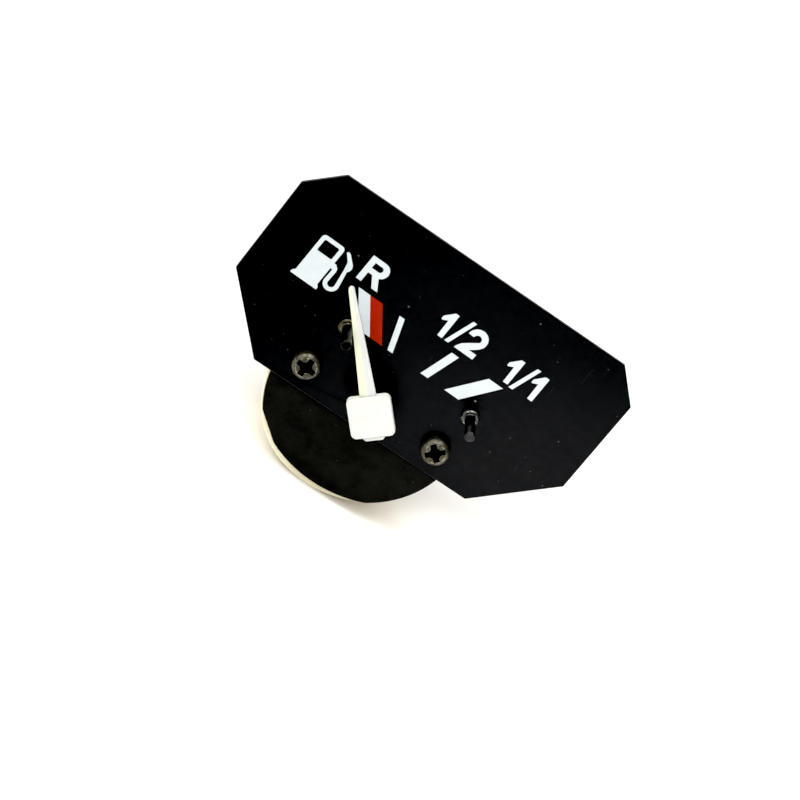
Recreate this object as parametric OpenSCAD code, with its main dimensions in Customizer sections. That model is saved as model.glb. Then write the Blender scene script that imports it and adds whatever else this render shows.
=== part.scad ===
// Fuel gauge from a car's instrument panel: an octagonal dial plate screwed to a round case,
// with a crossed-coil movement in the case that turns the pointer between two stop pins.
// X runs to the viewer's right, Y rearwards and Z up. The origin is on the axis of the case,
// in the plane of its rear face, in the middle of the three terminal studs.

/* [Dial plate] */
// Width of the plate
dial_w = 68; // [64:0.5:80]
// Height of the plate
dial_h = 36.2; // [35:0.1:42]
// Thickness of the plate
dial_t = 1; // [0.8:0.1:2]
// Size of the two cut corners at the top
top_cut = 5.5; // [3:0.1:8]
// Size of the two cut corners at the bottom
bottom_cut = 12; // [8:0.1:13]
// Height of the top edge above the pointer's axis
dial_above = 30.9; // [29:0.1:33]
// How far the middle of the plate lies to the right of the pointer's axis
dial_shift = 1.4; // [0:0.1:3]
// Radius of the plate's middle hole
dial_hole_r = 2; // [1.7:0.1:2.6]

/* [Scale print] */
// Thickness of the ink
ink_t = 0.05; // [0.03:0.01:0.1]
// How far the whole print is turned clockwise on the plate
print_turn = 1.2; // [-2:0.1:2]
// Height of the upper ends of the marks above the pointer's axis
mark_top = 15.7; // [14:0.1:16.5]
// Height of the marks
mark_h = 6.2; // [4:0.1:7]
// Place of the reserve mark's upper left corner, from the pointer's axis
reserve_left = -14.25; // [-15:0.05:-13.5]
// Place of the quarter mark's upper left corner
quarter_left = -5.75; // [-6.5:0.05:-5]
// Place of the half mark's upper left corner
half_left = 5.2; // [4.5:0.05:6]
// Place of the full mark's upper left corner
full_left = 13.05; // [12.5:0.05:14]
// Width of the white half of the reserve mark
reserve_white_w = 2.4; // [1.5:0.05:3]
// Width of the red half of the reserve mark
reserve_red_w = 2.55; // [1.5:0.05:3]
// Width of the quarter mark
quarter_w = 1.05; // [0.5:0.05:2]
// Width of the half mark
half_w = 1.5; // [0.8:0.05:2.5]
// Width of the full mark
full_w = 3; // [1.5:0.05:4]
// Height of the figures
figure_h = 5; // [4:0.1:5.6]
// Height of the figures' foot above the pointer's axis
figure_foot = 16.8; // [16.8:0.1:18.5]
// Place of the letter's left side
letter_left = -15.7; // [-16.5:0.1:-15]
// Place of the half figure's left side
half_text_left = 0; // [-0.5:0.1:0.5]
// Place of the full figure's left side
full_text_left = 13.9; // [13.5:0.1:14.5]
// Height of the pump symbol
pump_h = 8.9; // [7:0.1:9.5]
// Place of the pump symbol's middle
pump_left = -22.25; // [-23:0.05:-22]
// Height of the pump symbol's foot above the pointer's axis
pump_foot = 11; // [10:0.1:12]

/* [Dial screws] */
// Distance between the two screws
screw_gap = 26.8; // [25.6:0.1:27.2]
// How far the middle of the pair lies to the right of the pointer's axis
screw_shift = 0.25; // [0:0.05:0.5]
// How far the pair lies below the pointer's axis
screw_drop = 0.5; // [0:0.05:0.7]
// Radius of the screw thread
screw_r = 1.25; // [1:0.05:1.4]
// Length of the shank under the head
screw_len = 7.5; // [5:0.1:9]
// Radius of the head
head_r = 2.5; // [2:0.05:3]
// Height of the head
head_h = 2.1; // [1.5:0.05:2.4]
// Length across the cross recess
recess_len = 2.9; // [2:0.1:3.2]
// Width of the recess slots
recess_w = 0.75; // [0.5:0.05:1]
// Depth of the recess
recess_depth = 1.1; // [0.6:0.1:1.3]

/* [Stop pins] */
// How far the left pin lies to the left of the pointer's axis
left_pin_x = 11.5; // [11:0.1:13]
// Height of the left pin above the pointer's axis
left_pin_z = 9.1; // [8:0.1:10]
// How far the right pin lies to the right of the pointer's axis
right_pin_x = 14.8; // [14:0.1:16]
// Height of the right pin above the pointer's axis
right_pin_z = 7.8; // [7:0.1:9]
// Radius of a pin
pin_r = 0.9; // [0.7:0.05:1.1]
// Height of a pin over the plate
pin_h = 7.6; // [6:0.1:8]
// Radius of the collar at a pin's foot
collar_r = 1.6; // [1.3:0.05:2]
// Height of the collar
collar_h = 0.9; // [0.5:0.1:1.4]
// Radius of the spigot riveted in the plate
spigot_r = 0.75; // [0.5:0.05:0.9]

/* [Case] */
// Outer radius of the case
case_r = 18; // [17.9:0.05:18.4]
// Depth of the case
case_depth = 20; // [19.5:0.1:24]
// Thickness of the case wall
case_wall = 1.8; // [1.75:0.05:2.1]
// Thickness of the case floor
floor_t = 2; // [1.5:0.1:2.2]
// How far the pointer's axis lies to the left of the case axis
pivot_left = 0.4; // [0:0.1:1]
// How far the pointer's axis lies above the case axis
pivot_up = 2.2; // [1:0.1:2.6]
// Radius of the two screw posts
post_r = 2.9; // [2.7:0.1:3.2]
// Height of the pad under the movement
pad_h = 2.5; // [2.2:0.1:3]
// Radius of the pad
pad_r = 5; // [4:0.1:6]
// Outer radius of the threaded inserts
insert_r = 2; // [1.7:0.1:2.2]
// Length of the threaded inserts
insert_len = 5; // [3:0.1:6]
// Depth of the hole below an insert for the screw's end
insert_relief = 2; // [1.5:0.1:5]

/* [Front disc] */
// Radius of the disc
disc_r = 17.6; // [17.4:0.05:17.9]
// Thickness of the disc
disc_t = 1.2; // [0.8:0.1:1.6]
// Distance of the left flat from the case axis
left_flat = 17.1; // [16.8:0.05:17.4]
// Distance of the lower flat from the case axis
lower_flat = 16.25; // [16.25:0.05:17.4]
// Radius of the disc's middle hole
disc_hole_r = 0.9; // [0.7:0.05:1.1]

/* [Terminals] */
// Distance of a stud's axis from the inside of the case wall
stud_inset = 4.2; // [4.1:0.05:4.6]
// Radius of a stud
stud_r = 2; // [1.5:0.05:2.2]
// How much thicker the stud's neck is where it goes through the case
neck_step = 0.2; // [0.1:0.05:0.3]
// Free length of a stud behind the case
stud_len = 9; // [6:0.5:14]
// Radius of a stud's head inside the case
stud_head_r = 3; // [2.6:0.1:3.2]
// Thickness of a stud's head
stud_head_t = 1.2; // [0.8:0.1:1.4]
// Thickness of a solder tag
tag_t = 0.5; // [0.3:0.05:0.6]
// Width of a tag's upright
tag_w = 2.4; // [1.6:0.1:3]
// Height of a tag's upright
tag_h = 5; // [3.5:0.1:6]
// Radius of the lead wires
wire_r = 0.3; // [0.2:0.05:0.4]
// Radius of the calibrating resistor
resistor_r = 1.2; // [0.8:0.1:1.6]
// Length of the calibrating resistor
resistor_len = 6.4; // [4:0.1:8]

/* [Movement] */
// Outer radius of the steel can
can_r = 9.2; // [9.1:0.05:9.6]
// Wall of the steel can
can_t = 0.7; // [0.5:0.05:0.7]
// Space between the can's rim and the front disc
can_room = 1.5; // [1.3:0.1:2]
// Outer radius of the bobbin drum
drum_r = 5.2; // [4.9:0.05:5.2]
// Thickness of the drum's end walls
drum_end = 1.2; // [0.8:0.1:1.2]
// Radius of the rotor chamber
chamber_r = 4.1; // [3.9:0.05:4.2]
// Space between the windings' guides and the front disc
guide_room = 2.4; // [2.3:0.1:2.6]
// Radius of the drum's bearing tubes
tube_r = 1.8; // [1.6:0.05:1.85]
// Width of one coil bundle
coil_w = 2.4; // [2:0.1:2.5]
// Depth of a winding
coil_t = 1.2; // [0.8:0.05:1.2]
// Thickness of the guide blocks at the drum's corners
block_w = 1.5; // [1.4:0.05:1.5]
// Outer radius of a bearing bush
bearing_r = 1.2; // [1:0.05:1.25]
// Length of a bearing bush
bearing_len = 2.4; // [1.5:0.1:2.6]
// Radius of the return magnet
return_r = 0.5; // [0.3:0.05:0.55]
// Length of the return magnet
return_len = 4; // [2.5:0.1:4.5]

/* [Rotor] */
// Radius of the pointer's shaft
shaft_r = 0.5; // [0.4:0.05:0.6]
// Radius of the rotor magnet
magnet_r = 3.6; // [3:0.05:3.7]
// Gap between the rotor magnet and each end of its chamber
magnet_gap = 0.8; // [0.5:0.1:1.2]
// Radius of the magnet's hub
hub_r = 1; // [0.9:0.05:1.4]

/* [Pointer] */
// Length of the pointer from its axis to its tip
pointer_len = 23.7; // [21:0.1:24.5]
// Width of the arm at the tip
tip_w = 1; // [0.7:0.05:1.4]
// Width of the arm where it leaves the cap
root_w = 2.8; // [2.2:0.05:3.2]
// Depth of the arm at its edges
arm_edge = 0.45; // [0.3:0.05:0.7]
// Height of the arm's underside above the dial
arm_up = 4.45; // [4.2:0.05:4.6]
// Width of the cap
cap_w = 7.5; // [7:0.1:8]
// Length of the cap along the pointer
cap_l = 7.5; // [7:0.1:8]
// Radius of the cap's corners
cap_round = 1; // [0.8:0.1:1.5]
// Height of the cap's front over the dial
cap_up = 5.8; // [5.6:0.1:6.2]
// Depth of the cap
cap_deep = 1.4; // [1:0.1:1.8]
// Wall of the cap
cap_wall = 0.45; // [0.4:0.05:0.6]
// Width of the tail lip
tail_w = 3.7; // [3:0.1:4.2]
// How far the tail lip stands out of the cap
tail_out = 0.7; // [0.5:0.1:1.6]
// Radius of the pointer's brass bush
bush_r = 1.1; // [1:0.05:1.3]
// Wall of the plastic boss round the bush
boss_wall = 0.7; // [0.5:0.05:0.8]
// Gap between the boss and the dial
boss_gap = 1.2; // [0.8:0.1:1.6]
// Thickness of the balance weight
weight_t = 1.1; // [0.6:0.1:1.3]
// How far the weight's edges stay inside the hub plate
weight_inset = 0.4; // [0.2:0.1:0.8]

/* [Clearances] */
// Radial running clearance of the shaft in its bearings
running = 0.03; // [0.02:0.01:0.08]
// Clearance of fixed pieces that slip together
slip = 0.02; // [0.01:0.01:0.05]
// Clearance of a screw in the plate and the disc
screw_clear = 0.15; // [0.1:0.05:0.3]
// Clearance round the windings
coil_clear = 0.1; // [0.05:0.01:0.15]
// Gap left between the pointer and a stop pin
stop_gap = 0.25; // [0.1:0.05:0.5]
// Axial gap of the moving pieces
end_gap = 0.3; // [0.2:0.05:0.5]

/* [Hidden] */
round_fn = 96;
small_fn = 48;

// Planes across the depth, counted forwards from the rear face at zero
rim_y = -case_depth;
disc_front = rim_y - disc_t;
dial_front = disc_front - dial_t;
floor_in = -floor_t;
pad_y = floor_in - pad_h;
can_in = pad_y - can_t;
can_len = case_depth - floor_t - pad_h - can_room;
chamber_len = case_depth + can_in - 4 * coil_t - 6 * coil_clear - 2 * drum_end - guide_room;
outer_back = can_in - coil_clear;
inner_back = outer_back - coil_t - coil_clear;
drum_back = inner_back - coil_t - coil_clear;
drum_front = drum_back - chamber_len - 2 * drum_end;
drum_mid = (drum_back + drum_front) / 2;
inner_front = drum_front - coil_clear - coil_t;
outer_front = inner_front - coil_clear - coil_t;
block_front = outer_front - coil_clear;

// Places across the face
dial_x = dial_shift - pivot_left;
dial_top = pivot_up + dial_above;
pin_reach_left = norm([left_pin_x, left_pin_z]);
pin_reach_right = norm([right_pin_x, right_pin_z]);
bundle_in = tube_r + coil_clear;
bundle_out = bundle_in + coil_w;
window = drum_r + coil_clear;
block_in = bundle_out + coil_clear;
web_in = drum_r * 0.62;
case_in = case_r - case_wall;
stud_circle = 2 * (case_in - stud_inset);
neck_r = stud_r + neck_step;
tag_r = stud_circle / 2 + stud_head_r + 0.2;

// The pointer lies against the left pin at rest and against the right one when full
arm_root = cap_l / 2;
function arm_half(r) =
    (root_w + (tip_w - root_w) * (r - arm_root) / (pointer_len - tip_w / 2 - arm_root)) / 2;
rest_angle = -atan2(left_pin_x, left_pin_z)
    + asin((arm_half(pin_reach_left) + pin_r + stop_gap) / pin_reach_left);
full_angle = atan2(right_pin_x, right_pin_z)
    - asin((arm_half(pin_reach_right) + pin_r + stop_gap) / pin_reach_right);
sweep = full_angle - rest_angle;
echo(rest_angle = rest_angle, sweep = sweep);

// Shaft and bush along the depth
shaft_back = pad_y - end_gap;
shaft_front = dial_front - cap_up + cap_wall + end_gap;
bush_back = disc_front - end_gap;
bush_len = bush_back - shaft_front;
cap_rim = cap_up - cap_deep;
cap_in_w = cap_w - 2 * cap_wall;
cap_in_l = cap_l - 2 * cap_wall;
plate_w = cap_in_w - 2 * slip;
plate_l = cap_in_l - 2 * slip;
hub_len = chamber_len - 2 * end_gap;
magnet_t = chamber_len - 2 * magnet_gap;
hub_back = drum_mid + hub_len / 2;
magnet_back = drum_mid + magnet_t / 2;

// A flat shape drawn in X and Z, thickened forwards from the plane y
module slab(y, t) {
    translate([0, y, 0]) rotate([90, 0, 0]) linear_extrude(t) children();
}

// A round bar along Y from the plane y forwards
module bar(r, y, len, fn = small_fn) {
    translate([0, y, 0]) rotate([90, 0, 0]) cylinder(r = r, h = len, $fn = fn);
}

module at_pivot() {
    translate([-pivot_left, 0, pivot_up]) children();
}

module at_screws() {
    for (side = [-1, 1])
        at_pivot() translate([screw_shift + side * screw_gap / 2, 0, -screw_drop]) children();
}

module at_studs() {
    for (a = [90, 210, 330])
        rotate([0, -a, 0]) translate([stud_circle / 2, 0, 0]) children();
}

module rounded(w, h, r) {
    square([w - 2 * r, h], center = true);
    square([w, h - 2 * r], center = true);
    for (sx = [-1, 1], sy = [-1, 1])
        translate([sx * (w / 2 - r), sy * (h / 2 - r)]) circle(r = r, $fn = 32);
}

// A straight wire from a to b
module wire(a, b, r) {
    d = b - a;
    translate(a) rotate([0, acos(d[2] / norm(d)), atan2(d[1], d[0])])
        cylinder(r = r, h = norm(d), $fn = 24);
}

// The blob where a wire turns, a little thicker than the wire
module wire_turn(p, r) {
    translate(p) sphere(r = r * 1.15, $fn = 24);
}

// Octagonal plate of painted sheet metal
module dial_plate() {
    color([0.05, 0.05, 0.055]) difference() {
        slab(disc_front, dial_t) translate([dial_x, dial_top]) polygon([
            [top_cut - dial_w / 2, 0], [dial_w / 2 - top_cut, 0],
            [dial_w / 2, -top_cut], [dial_w / 2, bottom_cut - dial_h],
            [dial_w / 2 - bottom_cut, -dial_h], [bottom_cut - dial_w / 2, -dial_h],
            [-dial_w / 2, bottom_cut - dial_h], [-dial_w / 2, -top_cut]]);
        at_pivot() bar(dial_hole_r, disc_front + 1, dial_t + 2);
        at_screws() bar(screw_r + screw_clear, disc_front + 1, dial_t + 2);
        at_pins() bar(spigot_r + slip, disc_front + 1, dial_t + 2);
    }
}

module at_pins() {
    at_pivot() {
        translate([-left_pin_x, 0, left_pin_z]) children();
        translate([right_pin_x, 0, right_pin_z]) children();
    }
}

// The print's own plane: its origin is the pointer's axis, and it lies on the plate's front
module print_plane() {
    at_pivot() slab(dial_front, ink_t) translate([0, mark_top]) rotate(-print_turn)
        translate([0, -mark_top]) children();
}

// A mark that leans by an angle from upright; left is its upper left corner
module mark(lean, left, w) {
    shift = mark_h * tan(lean);
    polygon([[left, mark_top], [left + w, mark_top],
        [left + w - shift, mark_top - mark_h], [left - shift, mark_top - mark_h]]);
}

// Figures are drawn 5 high with the foot at zero, and scaled to their height; along and drop are
// counted in the drawn size
module figure_at(left, along = 0, drop = 0) {
    translate([left, figure_foot]) scale(figure_h / 5) translate([along, -drop]) children();
}

// Points along an arc round c from angle a to angle b
function arc(c, r, a, b, n = 16) =
    [for (i = [0:n]) c + r * [cos(a + (b - a) * i / n), sin(a + (b - a) * i / n)]];

module letter_r() {
    difference() {
        polygon(concat([[0, 0], [0, 5]], arc([2.6, 3.5], 1.5, 90, -68),
            [[4.4, 0], [3.2, 0], [1.87, 2], [1.05, 2], [1.05, 0]]));
        polygon(concat([[1.05, 3], [1.05, 4.1]], arc([2.4, 3.55], 0.55, 90, -90)));
    }
}

module digit_one() {
    polygon([[0, 2.85], [0, 3.45], [1.4, 5], [2.15, 5], [2.25, 0], [1.3, 0], [1.15, 3.2], [0.2, 2.75]]);
}

module slash() {
    polygon([[0, 0], [0.8, 0], [2.6, 5.6], [1.85, 5.6]]);
}

module digit_two() {
    translate([2.3, 3.42]) difference() {
        circle(r = 1.87, $fn = round_fn);
        circle(r = 0.75, $fn = small_fn);
        polygon([[0, 0], [-3, 0.1], [-3, -3], [3, -3], [3, -1.4]]);
    }
    polygon([[3, 3.15], [1.6, 2.1], [0.6, 1.25], [0.1, 0.4], [0, 0], [3.85, 0], [3.9, 1.05],
        [2.3, 1.05], [3.2, 1.75], [3.75, 2.3], [4.1, 2.94]]);
}

// Fuel pump drawn 8.9 high, its foot's middle at zero: foot, hose round its bend to the nozzle
// and back, then the pump's body
module pump_symbol() {
    bend = [4.02, 2.4];
    difference() {
        polygon(concat(
            [[-2.65, 0.45], [-2.65, 0], [2.65, 0], [2.65, 0.45], [2.25, 0.95], [2.25, 4.6], [2.65, 4.5]],
            arc(bend, 1.42, 180, 360, 24),
            [[4.85, 5.6], [5.12, 6], [5.2, 6.6], [4.95, 7.15], [3.4, 8.6], [2.95, 8.75], [2.75, 8.45],
                [3.9, 7.1], [4.22, 5.6]],
            arc(bend, 0.67, 0, -180, 24),
            [[3.4, 4.6], [3.25, 5.1], [2.7, 5.6], [2.25, 5.65]],
            arc([1.55, 8.2], 0.7, 0, 90), arc([-1.5, 8.2], 0.7, 90, 180),
            [[-2.2, 0.95]]));
        polygon(concat(arc([1.175, 7.875], 0.3, 0, 90, 6), arc([-1.175, 7.875], 0.3, 90, 180, 6),
            arc([-1.175, 6.125], 0.3, 180, 270, 6), arc([1.175, 6.125], 0.3, 270, 360, 6)));
    }
}

module scale_white() {
    color([0.93, 0.94, 0.95]) print_plane() {
        mark(-36.2, reserve_left, reserve_white_w);
        mark(-19.2, quarter_left, quarter_w);
        mark(16.5, half_left, half_w);
        mark(37, full_left, full_w);
        figure_at(letter_left) letter_r();
        figure_at(half_text_left) digit_one();
        figure_at(half_text_left, 2.75) slash();
        figure_at(half_text_left, 4.8) digit_two();
        figure_at(full_text_left) digit_one();
        figure_at(full_text_left, 2.65, 0.25) slash();
        figure_at(full_text_left, 5.15) digit_one();
        translate([pump_left, pump_foot]) scale(pump_h / 8.9) pump_symbol();
    }
}

module scale_red() {
    color([0.68, 0.12, 0.03]) print_plane()
        mark(-36.2, reserve_left + reserve_white_w, reserve_red_w);
}

// Pan-head screws with a cross recess
module dial_screws() {
    crown = head_h * 0.45;
    color([0.3, 0.28, 0.24]) at_screws() difference() {
        union() {
            bar(screw_r, dial_front + screw_len, screw_len);
            translate([0, dial_front, 0]) rotate([90, 0, 0]) rotate_extrude($fn = round_fn)
                polygon(concat([[0, 0], [head_r - 0.15, 0], [head_r, 0.15]],
                    [for (a = [0:15:90]) [head_r - crown + crown * cos(a), head_h - crown + crown * sin(a)]],
                    [[0, head_h]]));
        }
        for (turn = [45, 135])
            slab(dial_front - head_h + recess_depth, recess_depth + 1) rotate(turn)
                square([recess_len, recess_w], center = true);
        bar(recess_w * 0.75, dial_front - head_h + recess_depth + 0.3, recess_depth + 1);
    }
}

// Turned stop pin: spigot in the plate, collar, shank and a cupped end
module stop_pin() {
    translate([0, disc_front, 0]) rotate([90, 0, 0]) rotate_extrude($fn = small_fn)
        polygon([[0, 0], [spigot_r, 0], [spigot_r, dial_t], [collar_r, dial_t],
            [collar_r, dial_t + collar_h - 0.25], [collar_r - 0.25, dial_t + collar_h],
            [pin_r, dial_t + collar_h], [pin_r, dial_t + pin_h - 0.12],
            [pin_r - 0.12, dial_t + pin_h], [pin_r * 0.6, dial_t + pin_h], [0, dial_t + pin_h - 0.35]]);
}

module stop_pin_left() {
    color([0.34, 0.31, 0.24]) at_pivot() translate([-left_pin_x, 0, left_pin_z]) stop_pin();
}

module stop_pin_right() {
    color([0.2, 0.2, 0.2]) at_pivot() translate([right_pin_x, 0, right_pin_z]) stop_pin();
}

// Black disc that closes the case, with two flats at its lower left
module front_disc() {
    color([0.09, 0.1, 0.095]) difference() {
        slab(rim_y, disc_t) intersection() {
            circle(r = disc_r, $fn = 180);
            rotate(-128.5) translate([-2 * disc_r, -disc_r]) square([2 * disc_r + left_flat, 2 * disc_r]);
            rotate(-93) translate([-2 * disc_r, -disc_r]) square([2 * disc_r + lower_flat, 2 * disc_r]);
        }
        at_pivot() bar(disc_hole_r, rim_y + 1, disc_t + 2);
        at_screws() bar(screw_r + screw_clear, rim_y + 1, disc_t + 2);
    }
}

// Moulded cup with two screw posts and a pad for the movement
module case() {
    color([0.87, 0.83, 0.68]) difference() {
        union() {
            difference() {
                bar(case_r, 0, case_depth, 180);
                bar(case_in, floor_in, case_depth, 180);
            }
            intersection() {
                at_screws() bar(post_r, -floor_t / 2, case_depth - floor_t / 2);
                bar(case_r - case_wall / 2, 0, case_depth, 180);
            }
            at_pivot() bar(pad_r, -floor_t / 2, pad_h + floor_t / 2);
        }
        at_screws() bar(insert_r + slip, rim_y + insert_len, insert_len + 1);
        at_screws() bar(screw_r + screw_clear, rim_y + insert_len + insert_relief,
            insert_len + insert_relief + 1);
        at_studs() bar(neck_r + slip, 1, floor_t + 2);
    }
}

module post_inserts() {
    color([0.78, 0.62, 0.3]) at_screws() difference() {
        bar(insert_r, rim_y + insert_len, insert_len);
        bar(screw_r + slip, rim_y + insert_len + 1, insert_len + 2);
    }
}

// Threaded studs: head inside the case, neck through its floor, free end behind it
module terminal_studs() {
    chamfer = 0.4;
    color([0.76, 0.66, 0.42]) at_studs() {
        bar(stud_r, stud_len - chamfer, stud_len - chamfer);
        bar(neck_r, 0, floor_t + tag_t);
        translate([0, stud_len - chamfer, 0]) rotate([-90, 0, 0])
            cylinder(r1 = stud_r, r2 = stud_r - chamfer, h = chamfer, $fn = small_fn);
        bar(stud_head_r, floor_in - tag_t, stud_head_t);
    }
}

// Eyelets under the stud heads, each with an upright solder tag
module terminal_tags() {
    color([0.8, 0.8, 0.78]) at_studs() difference() {
        union() {
            slab(floor_in, tag_t) {
                circle(r = stud_head_r, $fn = small_fn);
                translate([0, -tag_w / 2]) square([stud_head_r + 0.2 + tag_t, tag_w]);
            }
            slab(floor_in, tag_h) translate([stud_head_r + 0.2, -tag_w / 2]) square([tag_t, tag_w]);
        }
        bar(neck_r + slip, floor_in + 1, tag_t + 2);
    }
}

// Leads from the tags over the can's rim to the coils
module coil_leads() {
    over = pad_y - can_len - wire_r - end_gap;
    lead_r = tag_r - wire_r;
    ends = [[1, 3], [-5, -3], [5, -3]];
    angles = [90, 210, 330];
    color([0.72, 0.3, 0.12])
        for (i = [0:2]) {
            a = angles[i];
            foot = [lead_r * cos(a), floor_in - tag_h + 0.5, lead_r * sin(a)];
            bend = [foot[0], over, foot[2]];
            inner = [ends[i][0] - pivot_left, over, ends[i][1] + pivot_up];
            wire(foot, bend, wire_r);
            wire_turn(bend, wire_r);
            wire(bend, inner, wire_r);
            wire_turn(inner, wire_r);
            wire(inner, [inner[0], outer_front, inner[2]], wire_r);
        }
}

resistor_y = floor_in - tag_h - 2;
resistor_z = -11.8;

module ballast_resistor() {
    color([0.72, 0.6, 0.42]) translate([-resistor_len / 2, resistor_y, resistor_z]) rotate([0, 90, 0])
        rotate_extrude($fn = small_fn) polygon([[0, 0], [resistor_r, 0], [resistor_r, 1.2],
            [resistor_r - 0.15, 1.35], [resistor_r - 0.15, resistor_len - 1.35],
            [resistor_r, resistor_len - 1.2], [resistor_r, resistor_len], [0, resistor_len]]);
}

module resistor_leads() {
    lead_r = tag_r - wire_r;
    color([0.8, 0.8, 0.78])
        for (side = [-1, 1])
            wire([side * (resistor_len + wire_r) / 2, resistor_y, resistor_z],
                [side * lead_r * cos(30), floor_in - tag_h / 2, -lead_r * sin(30)], wire_r);
}

// Steel can round the coils, open at the front
module shield_can() {
    color([0.62, 0.63, 0.64]) at_pivot() difference() {
        bar(can_r, pad_y, can_len, round_fn);
        bar(can_r - can_t, can_in, can_len, round_fn);
        bar(tube_r + slip, pad_y + 1, can_t + 2);
    }
}

// One half of the bobbin drum between two planes, with its corner blocks
module drum_part(y_back, y_front, block_to, block_from) {
    bar(drum_r, y_back, y_back - y_front, round_fn);
    for (sx = [-1, 1], sz = [-1, 1])
        scale([sx, 1, sz]) {
            slab(y_back, y_back - y_front) translate([web_in, web_in]) square(drum_r - web_in);
            slab(block_to, block_to - block_from) translate([block_in, block_in]) square(block_w);
        }
}

module bobbin_front() {
    color([0.16, 0.17, 0.18]) at_pivot() difference() {
        union() {
            drum_part(drum_mid, drum_front, drum_mid, block_front);
            bar(tube_r, drum_front + 0.5, drum_front + 0.5 - rim_y);
        }
        bar(chamber_r, drum_mid + 1, drum_mid + 1 - drum_front - drum_end, round_fn);
        bar(shaft_r + end_gap, drum_mid, drum_mid - rim_y + 1);
        bar(bearing_r + slip, rim_y + bearing_len, bearing_len + 1);
        translate([block_in + block_w / 2, 0, block_in + block_w / 2])
            bar(return_r + slip, block_front + return_len, return_len + 1);
    }
}

module bobbin_rear() {
    color([0.16, 0.17, 0.18]) at_pivot() difference() {
        union() {
            drum_part(drum_back, drum_mid, can_in, drum_mid);
            bar(tube_r, pad_y, pad_y - drum_back + 0.5);
        }
        bar(chamber_r, drum_back - drum_end, chamber_len, round_fn);
        bar(shaft_r + end_gap, pad_y + 1, pad_y + 1 - drum_mid);
        bar(bearing_r + slip, pad_y + 1, bearing_len + 1);
    }
}

// A winding in two bundles beside the bearing tube, as a rounded ring
module winding(y_back, y_front, inside) {
    w = 2 * inside + 2 * coil_t;
    h = y_back - y_front;
    for (side = [0, 1])
        mirror([side, 0, 0]) translate([bundle_in, (y_back + y_front) / 2, 0]) rotate([90, 0, 90])
            linear_extrude(coil_w) difference() {
                rounded(h, w, 1.2);
                rounded(h - 2 * coil_t, w - 2 * coil_t, 0.4);
            }
}

module inner_coil() {
    color([0.75, 0.36, 0.16]) at_pivot() winding(inner_back, inner_front, window);
}

module outer_coil() {
    color([0.8, 0.42, 0.2]) at_pivot() rotate([0, 90, 0]) winding(outer_back, outer_front, window);
}

module bearing(y) {
    difference() {
        bar(bearing_r, y, bearing_len);
        bar(shaft_r + running, y + 1, bearing_len + 2);
    }
}

module front_bearing() {
    color([0.8, 0.66, 0.34]) at_pivot() bearing(rim_y + bearing_len);
}

module rear_bearing() {
    color([0.8, 0.66, 0.34]) at_pivot() bearing(pad_y);
}

module return_magnet() {
    color([0.35, 0.35, 0.36]) at_pivot() translate([block_in + block_w / 2, 0, block_in + block_w / 2])
        bar(return_r, block_front + return_len, return_len);
}

// Turns what is drawn upright to the pointer's place at rest
module at_rest() {
    at_pivot() rotate([0, rest_angle, 0]) children();
}

// Moulded arm with a ridge, its hub plate, boss and tail lip
module pointer() {
    arm_t = cap_up - cap_wall - arm_up - slip;
    tip = pointer_len - tip_w / 2;
    lip = cap_l / 2 + tail_out;
    slope = (arm_t - arm_edge) / (root_w / 2);
    color([0.93, 0.9, 0.76]) at_rest() difference() {
        union() {
            intersection() {
                slab(dial_front - arm_up, arm_t) {
                    polygon([[-root_w / 2, plate_l / 4], [root_w / 2, plate_l / 4],
                        [root_w / 2, arm_root], [tip_w / 2, tip], [-tip_w / 2, tip], [-root_w / 2, arm_root]]);
                    translate([0, tip]) circle(r = tip_w / 2, $fn = small_fn);
                }
                translate([0, dial_front - arm_up, 0]) rotate([0, 0, 180]) linear_extrude(pointer_len + 1)
                    polygon([[-root_w, 0], [root_w, 0], [root_w, arm_t - slope * root_w],
                        [0, arm_t], [-root_w, arm_t - slope * root_w]]);
            }
            slab(dial_front - arm_up, arm_t) rounded(plate_w, plate_l, cap_round - cap_wall);
            slab(dial_front - arm_up, arm_t) polygon([[-tail_w / 2, 0], [tail_w / 2, 0],
                [tail_w / 2, 0.4 - lip], [tail_w / 2 - 0.4, -lip],
                [0.4 - tail_w / 2, -lip], [-tail_w / 2, 0.4 - lip]]);
            bar(bush_r + boss_wall, dial_front - boss_gap, arm_up - boss_gap + arm_t);
        }
        bar(bush_r, dial_front, cap_up + 1);
    }
}

// Cap over the hub, open towards the dial, with a slot for the arm and one for the tail
module pointer_cap() {
    deep = cap_deep - cap_wall;
    inside = dial_front - cap_rim + 1;
    color([0.94, 0.92, 0.8]) at_rest() difference() {
        slab(dial_front - cap_rim, cap_deep) rounded(cap_w, cap_l, cap_round);
        slab(inside, deep + 1) rounded(cap_in_w, cap_in_l, cap_round - cap_wall);
        slab(inside, deep + 1) translate([-root_w / 2 - slip, 0]) square([root_w + 2 * slip, cap_l]);
        slab(inside, deep + 1) translate([-tail_w / 2 - slip, -cap_l]) square([tail_w + 2 * slip, cap_l]);
    }
}

// Brass horseshoe under the hub plate that balances the arm
module balance_weight() {
    w = plate_w - 2 * weight_inset;
    l = plate_l / 2 - weight_inset;
    color([0.76, 0.62, 0.32]) at_rest() slab(dial_front - arm_up + weight_t, weight_t) difference() {
        translate([-w / 2, -l]) square([w, l]);
        circle(r = bush_r + boss_wall + slip, $fn = small_fn);
    }
}

module pointer_bush() {
    color([0.8, 0.66, 0.34]) at_pivot() difference() {
        bar(bush_r, bush_back, bush_len);
        bar(shaft_r, bush_back + 1, bush_len + 2);
    }
}

module pointer_shaft() {
    color([0.7, 0.71, 0.72]) at_pivot() bar(shaft_r, shaft_back, shaft_back - shaft_front);
}

module magnet_hub() {
    color([0.88, 0.88, 0.85]) at_pivot() difference() {
        bar(hub_r, hub_back, hub_len);
        bar(shaft_r, hub_back + 1, hub_len + 2);
    }
}

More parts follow.
